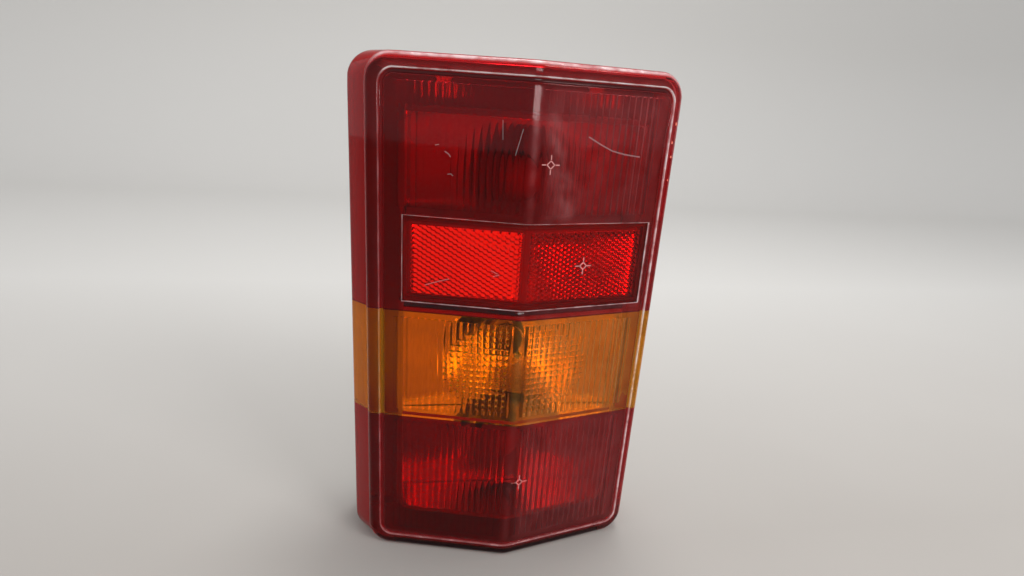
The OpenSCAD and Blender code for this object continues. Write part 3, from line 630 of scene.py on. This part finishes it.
class Tree:
    """A node tree with short ways to add and join nodes."""

    def __init__(self, tree):
        """Keeps the tree."""
        self.tree = tree

    def add(self, kind, **settings):
        """Adds a node and sets its own settings."""
        node = self.tree.nodes.new(kind)
        for key, value in settings.items():
            setattr(node, key, value)
        return node

    def join(self, source, target):
        """Links two sockets."""
        self.tree.links.new(source, target)

    def spread(self, value, low, high, to_low, to_high, **settings):
        """Maps a value from one range to another, without going past its ends."""
        node = self.add("ShaderNodeMapRange", **settings)
        node.inputs["From Min"].default_value = low
        node.inputs["From Max"].default_value = high
        node.inputs["To Min"].default_value = to_low
        node.inputs["To Max"].default_value = to_high
        self.join(value, node.inputs["Value"])
        return node.outputs["Result"]

    def reckon(self, operation, first, second):
        """A value worked out from two others."""
        node = self.add("ShaderNodeMath", operation=operation)
        self.join(first, node.inputs[0])
        self.join(second, node.inputs[1])
        return node.outputs["Value"]

    def total(self, first, second):
        """The sum of two values."""
        return self.reckon("ADD", first, second)

    def times(self, first, second):
        """The product of two values."""
        return self.reckon("MULTIPLY", first, second)

    def largest(self, first, second):
        """The larger one of two values."""
        return self.reckon("MAXIMUM", first, second)


class Shader(Tree):
    """A material with one Principled surface."""

    def __init__(self, name):
        """Makes the material with its surface and the place that its textures use."""
        self.material = bpy.data.materials.new(name)
        self.material.use_nodes = True
        super().__init__(self.material.node_tree)
        self.tree.nodes.clear()
        output = self.add("ShaderNodeOutputMaterial")
        self.surface = self.add("ShaderNodeBsdfPrincipled")
        self.join(self.surface.outputs["BSDF"], output.inputs["Surface"])
        self.place = self.add("ShaderNodeTexCoord").outputs["Object"]

    def noise(self, scale, detail=4):
        """A noise value from 0 to 1, its scale in waves per metre."""
        noise = self.add("ShaderNodeTexNoise")
        noise.inputs["Scale"].default_value = scale
        noise.inputs["Detail"].default_value = detail
        self.join(self.place, noise.inputs["Vector"])
        return noise.outputs["Fac"]

    def mix(self, factor, first, second):
        """A mix of two colours by a value; the first may come from another node."""
        node = self.add("ShaderNodeMix", data_type="RGBA")
        self.join(factor, node.inputs["Factor"])
        if isinstance(first, bpy.types.NodeSocket):
            self.join(first, node.inputs["A"])
        else:
            node.inputs["A"].default_value = (*first, 1)
        node.inputs["B"].default_value = (*second, 1)
        return node.outputs["Result"]

    def within(self, half_width, low, high):
        """1 inside an upright rectangle around the part's middle, seen from the front, else 0."""
        place = self.add("ShaderNodeSeparateXYZ")
        self.join(self.place, place.inputs["Vector"])
        sides = []
        for axis, middle, half in (("X", 0, half_width), ("Z", (low + high) / 2, (high - low) / 2)):
            side = self.add("ShaderNodeMath", operation="COMPARE")
            self.join(place.outputs[axis], side.inputs[0])
            side.inputs[1].default_value = middle
            side.inputs[2].default_value = half
            sides.append(side.outputs["Value"])
        return self.times(*sides)

    def bump(self, value, strength):
        """Bends the light by a height of up to 0.2 mm."""
        node = self.add("ShaderNodeBump")
        node.inputs["Strength"].default_value = strength
        node.inputs["Distance"].default_value = 0.2 * MM
        self.join(value, node.inputs["Height"])
        self.join(node.outputs["Normal"], self.surface.inputs["Normal"])

    def set(self, **values):
        """Sets inputs of the surface, named in small letters."""
        for key, value in values.items():
            socket = self.surface.inputs[key.replace("_", " ").title().replace("Ior", "IOR")]
            if isinstance(value, bpy.types.NodeSocket):
                self.join(value, socket)
            elif isinstance(value, tuple):
                socket.default_value = (*value, 1)
            else:
                socket.default_value = value


def clear_plastic(name, tint, dusty, rough=0.03):
    """Tinted clear plastic with fine wear; pale and dull under painted highlights and near black under
    painted shade, as the mesh's attribute gives them.
    """
    s = Shader(name)
    painted_light = s.add("ShaderNodeAttribute", attribute_name="painted_light").outputs["Fac"]
    # Painted highlights where the attribute is above 0, painted shade where it is below 0
    highlit = s.times(s.spread(painted_light, 0, 1, 0, 1), s.spread(s.noise(160, 6), 0.3, 0.62, 0.55, 1.1))
    shaded = s.spread(painted_light, 0, -1, 0, 1)
    even = s.mix(s.spread(s.noise(35, 5), 0.35, 0.75, 0, 1), tint, dusty)
    s.set(
        base_color=s.mix(shaded, s.mix(highlit, even, HIGHLIGHT_COLOUR), SHADE_COLOUR),
        roughness=s.spread(s.times(highlit, s.noise(90, 6)), 0, 0.5, rough, rough + 0.3),
        transmission_weight=s.spread(s.largest(highlit, shaded), 0, 1, 1, 0.1),
        ior=PLASTIC_IOR,
        specular_tint=GLOSS,
    )
    s.bump(s.noise(260, 5), 0.04)
    return s.material


def frosted_plastic(name, tint):
    """The etched inside of the lens sides."""
    s = Shader(name)
    s.set(
        base_color=s.mix(s.noise(60, 4), tint, tuple(0.94 * c for c in tint)),
        roughness=s.spread(s.noise(400, 3), 0.3, 0.7, 0.5, 0.65),
        specular_tint=GLOSS,
        transmission_weight=0.35,
        ior=PLASTIC_IOR,
    )
    return s.material


def lacquered_housing(name):
    """Grey moulded plastic with silver lacquer inside the box."""
    s = Shader(name)
    inside = s.within(BOX_HALF_W, -BOX_HALF_H, BOX_HALF_H)
    s.set(
        base_color=s.mix(inside, (0.58, 0.58, 0.57), (0.8, 0.8, 0.79)),
        metallic=inside,
        roughness=s.spread(inside, 0, 1, 0.45, 0.15),
    )
    s.bump(s.noise(1500, 3), 0.15)
    return s.material


def lined_cover(name):
    """Dark grey moulded plastic, paler where it lies behind the prisms."""
    s = Shader(name)
    inside = s.within(LINING_HALF_W, LINING_LOW, LINING_HIGH)
    s.set(base_color=s.mix(inside, (0.25, 0.25, 0.26), (0.36, 0.36, 0.35)), roughness=0.5)
    return s.material


def moulded(name, colour, rough):
    """Plain moulded plastic or rubber with a fine grain."""
    s = Shader(name)
    lighter = tuple(min(1, c * 1.25 + 0.01) for c in colour)
    s.set(
        base_color=s.mix(s.spread(s.noise(60, 6), 0.3, 0.7, 0, 1), colour, lighter),
        roughness=s.spread(s.noise(120, 4), 0.3, 0.7, rough - 0.08, rough + 0.1),
    )
    s.bump(s.noise(2500, 2), 0.15)
    return s.material


def metal(name, colour, rough, bare=1.0):
    """Bare or plated metal with faint stains; less bare is duller."""
    s = Shader(name)
    dull = tuple(c * 0.8 for c in colour)
    s.set(
        base_color=s.mix(s.spread(s.noise(70, 5), 0.4, 0.8, 0, 1), colour, dull),
        metallic=bare,
        roughness=s.spread(s.noise(150, 4), 0.3, 0.7, rough, rough + 0.1),
    )
    return s.material


def thin_glass(name, rough, clear):
    """Thin glass, clear or frosted."""
    s = Shader(name)
    s.set(
        base_color=(0.97, 0.98, 0.98),
        roughness=s.spread(s.noise(80, 3), 0.3, 0.8, rough, rough + 0.05),
        transmission_weight=clear,
        ior=GLASS_IOR,
    )
    return s.material


MATERIALS = {
    "lens_red": clear_plastic("lens_red", RED, tuple(0.92 * c for c in RED)),
    "lens_red_frosted": frosted_plastic("lens_red_frosted", (0.9, 0.03, 0.035)),
    "lens_amber": clear_plastic("lens_amber", AMBER, tuple(0.94 * c for c in AMBER)),
    "lens_amber_frosted": frosted_plastic("lens_amber_frosted", (1, 0.6, 0.02)),
    "reflex_red": clear_plastic("reflex_red", (0.95, 0.006, 0.001), (0.86, 0.006, 0.002), 0.01),
    "cover_plastic": lined_cover("cover_plastic"),
    "seal_bead": moulded("seal_bead", (0.8, 0.78, 0.74), 0.7),
    "housing_plastic": lacquered_housing("housing_plastic"),
    "gasket_rubber": moulded("gasket_rubber", (0.02, 0.02, 0.02), 0.75),
    "plated_steel": metal("plated_steel", (0.72, 0.68, 0.55), 0.3),
    "metallised": metal("metallised", (0.96, 0.96, 0.96), 0.1),
    "metallised_dull": metal("metallised_dull", (0.86, 0.86, 0.86), 0.28, 0.35),
    "carrier_plastic": moulded("carrier_plastic", (0.4, 0.4, 0.39), 0.45),
    "brass": metal("brass", (0.8, 0.6, 0.25), 0.28),
    "insulator": moulded("insulator", (0.35, 0.18, 0.07), 0.5),
    "bulb_glass": thin_glass("bulb_glass", 0.05, 1),
    "bulb_glass_frosted": thin_glass("bulb_glass_frosted", 0.4, 0.15),
    "bulb_cap": metal("bulb_cap", (0.78, 0.62, 0.3), 0.3),
    "filament": metal("filament", (0.5, 0.5, 0.52), 0.4),
}

SLOT_NODES = {
    "reflex_red": ["reflex_reflector"],
    "cover_plastic": ["reflex_cover"],
    "seal_bead": ["lens_seal"],
    "housing_plastic": ["housing"],
    "gasket_rubber": ["flange_gasket", "carrier_seal"],
    "plated_steel": ["mounting_studs", "carrier_screws"],
    "metallised": ["reflector_turn", "reflector_fog"],
    "metallised_dull": ["reflector_stop_tail"],
    "carrier_plastic": ["bulb_carrier"],
    "brass": [
        "socket_stop_tail", "socket_turn", "socket_fog",
        "earth_strip", "stop_strip", "tail_strip", "turn_strip", "fog_strip",
    ],
    "insulator": ["socket_base_stop_tail", "socket_base_turn", "socket_base_fog"],
    "bulb_glass": ["turn_glass"],
    "bulb_glass_frosted": ["stop_tail_glass", "fog_glass"],
    "bulb_cap": ["stop_tail_cap", "turn_cap", "fog_cap"],
    "filament": ["stop_tail_filaments", "turn_filament", "fog_filament"],
}

ZONES = [
    ("lower_red_lens", "lens_red_lower", "lens_red"),
    ("amber_lens", "lens_amber", "lens_amber"),
    ("upper_red_lens", "lens_red_upper", "lens_red"),
]


def dress_nodes():
    """Gives every CAD node that is shown its finish."""
    for slot, names in SLOT_NODES.items():
        for name in names:
            nodes[name].data.materials.clear()
            nodes[name].data.materials.append(MATERIALS[slot])


def build_lens():
    """The three zones of the lens, each in place of its CAD node."""
    points, painted_light, shells = lens_meshes()
    for (faces, frosted), (name, node, slot) in zip(shells, ZONES):
        looks = [MATERIALS[slot], MATERIALS[slot + "_frosted"]]
        piece = make_mesh(name, points, faces, looks, frosted, painted_light)
        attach(piece, "root")
        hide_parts(node)


def mark_strokes():
    """Strokes of the centre marks: a small ring on its corner, with four rays."""
    strokes = []
    near, reach = MARK_RAY
    ways = [(1, 0), (0, 1), (-1, 0), (0, -1)]
    for x, z in CENTRE_MARKS:
        ring = [(x + MARK_RING * a, z + MARK_RING * b) for a, b in ways]
        strokes.append((MARK_WIDTH, ring + ring[:1]))
        for a, b in ways:
            ray = [(x + near * a, z + near * b), (x + reach * a, z + reach * b)]
            strokes.append((MARK_WIDTH, ray))
    return strokes


def build_strokes(name, strokes, material):
    """Thin bars let into the face of the lens, each one closed."""
    points = []
    faces = []
    section = [(-1, -STROKE_IN), (1, -STROKE_IN), (1, STROKE_OUT), (-1, STROKE_OUT)]
    for width, line in strokes:
        for start, end in zip(line, line[1:]):
            side = 1 if start[0] + end[0] > 0 else -1
            out = Vector((side * SIN, -COS, 0))
            ends = [Vector((x, float(panel_y(x, 0)), z)) for x, z in (start, end)]
            across = (ends[1] - ends[0]).cross(out).normalized() * width / 2
            first = len(points)
            for middle in ends:
                points += [tuple((middle + step * across + lift * out) * MM) for step, lift in section]
            corners = [first + k for k in range(4)]
            for a, b in zip(corners, corners[1:] + corners[:1]):
                faces.append((a, b, b + 4, a + 4))
            faces.append(tuple(reversed(corners)))
            faces.append(tuple(corner + 4 for corner in corners))
    piece = make_mesh(name, np.array(points), faces, [material])
    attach(piece, "root")


def build_camera():
    """The camera, turned by its yaw, pitch and roll."""
    right = Vector((math.cos(CAMERA_YAW), math.sin(CAMERA_YAW), 0))
    ahead = Vector((-math.sin(CAMERA_YAW), math.cos(CAMERA_YAW), 0))
    high = Vector((0, 0, 1))
    forward = math.cos(CAMERA_PITCH) * ahead + math.sin(CAMERA_PITCH) * high
    up = -math.sin(CAMERA_PITCH) * ahead + math.cos(CAMERA_PITCH) * high
    rolled_right = math.cos(CAMERA_ROLL) * right + math.sin(CAMERA_ROLL) * up
    rolled_up = -math.sin(CAMERA_ROLL) * right + math.cos(CAMERA_ROLL) * up
    data = bpy.data.cameras.new("camera")
    data.sensor_width = SENSOR_WIDTH
    data.lens = FOCAL_PIXELS * SENSOR_WIDTH / PHOTO_WIDTH
    data.clip_start = 0.01
    data.clip_end = 50
    camera = bpy.data.objects.new("camera", data)
    turn = Matrix((rolled_right, rolled_up, -forward)).transposed().to_4x4()
    camera.matrix_world = Matrix.Translation(CAMERA_AT) @ turn
    bpy.context.scene.collection.objects.link(camera)
    bpy.context.scene.camera = camera


def build_studio():
    """A pale floor that sweeps up into a backdrop, with painted shade darkening it in front of the
    lamp.
    """
    floor_z = cad_bounds[0][2]
    profile = [(FLOOR_FRONT, floor_z)]
    for k in range(SWEEP_STEPS + 1):
        a = math.pi / 2 * k / SWEEP_STEPS
        profile.append((SWEEP_START + SWEEP_R * math.sin(a), floor_z + SWEEP_R * (1 - math.cos(a))))
    profile.append((SWEEP_START + SWEEP_R, floor_z + SWEEP_HEIGHT))
    points = np.array([(x, y, z) for y, z in profile for x in (-FLOOR_HALF_W, FLOOR_HALF_W)])
    faces = [(2 * k, 2 * k + 1, 2 * k + 3, 2 * k + 2) for k in range(len(profile) - 1)]
    s = Shader("studio_floor")
    place = s.add("ShaderNodeSeparateXYZ")
    s.join(s.place, place.inputs["Vector"])
    # Painted shade near the front, in two tones, fading out towards the back
    near = s.mix(s.spread(s.noise(3, 3), 0.3, 0.7, 0, 1), *FLOOR_NEAR_SHADED)
    s.set(
        base_color=s.mix(s.spread(place.outputs["Y"], *FLOOR_SHADE_FADE, 0, 1), near, FLOOR_FAR),
        roughness=0.75,
    )
    make_mesh("studio_floor", points, faces, [s.material])


def build_sky():
    """A soft sky, bright above, to the right and behind the camera, and pale where it is seen."""
    world = bpy.data.worlds.new("world")
    world.use_nodes = True
    bpy.context.scene.world = world
    sky = Tree(world.node_tree)
    direction = sky.add("ShaderNodeTexCoord").outputs["Generated"]
    base = sky.add("ShaderNodeValue").outputs["Value"]
    base.default_value = SKY_BASE
    light = base
    for axis, low, high, strength in SKY_LOBES:
        dot = sky.add("ShaderNodeVectorMath", operation="DOT_PRODUCT")
        dot.inputs[1].default_value = Vector(axis).normalized()
        sky.join(direction, dot.inputs[0])
        lobe = sky.spread(dot.outputs["Value"], low, high, 0, strength, interpolation_type="SMOOTHSTEP")
        light = sky.total(light, lobe)
    path = sky.add("ShaderNodeLightPath").outputs
    straight = sky.total(path["Is Glossy Ray"], path["Is Transmission Ray"])
    seen = sky.add("ShaderNodeMix")
    sky.join(sky.total(path["Is Camera Ray"], straight), seen.inputs["Factor"])
    sky.join(light, seen.inputs["A"])
    seen.inputs["B"].default_value = SKY_SEEN
    background = world.node_tree.nodes["Background"]
    background.inputs["Color"].default_value = SKY_COLOUR
    sky.join(seen.outputs["Result"], background.inputs["Strength"])


def build_lights():
    """Soft rectangular lights."""
    for name, at, aim, size, power in LIGHTS:
        data = bpy.data.lights.new(name, "AREA")
        data.shape = "RECTANGLE"
        data.size, data.size_y = size
        data.energy = power
        light = bpy.data.objects.new(name, data)
        turn = (Vector(aim) - Vector(at)).to_track_quat("-Z", "Y").to_matrix().to_4x4()
        light.matrix_world = Matrix.Translation(at) @ turn
        bpy.context.scene.collection.objects.link(light)


dress_nodes()
build_lens()
build_strokes("centre_marks", mark_strokes(), moulded("moulded_mark", (0.5, 0.2, 0.19), 0.4))
build_strokes("scratches", SCRATCHES, moulded("scratched", (0.2, 0.095, 0.1), 0.5))
build_strokes("nicks", NICKS, moulded("nicked", (0.7, 0.16, 0.1), 0.4))
build_camera()
build_studio()
build_sky()
build_lights()

scene = bpy.context.scene
scene.view_settings.view_transform = "Standard"
scene.cycles.use_denoising = True
scene.cycles.max_bounces = 16
scene.cycles.transmission_bounces = 16
scene.cycles.glossy_bounces = 8
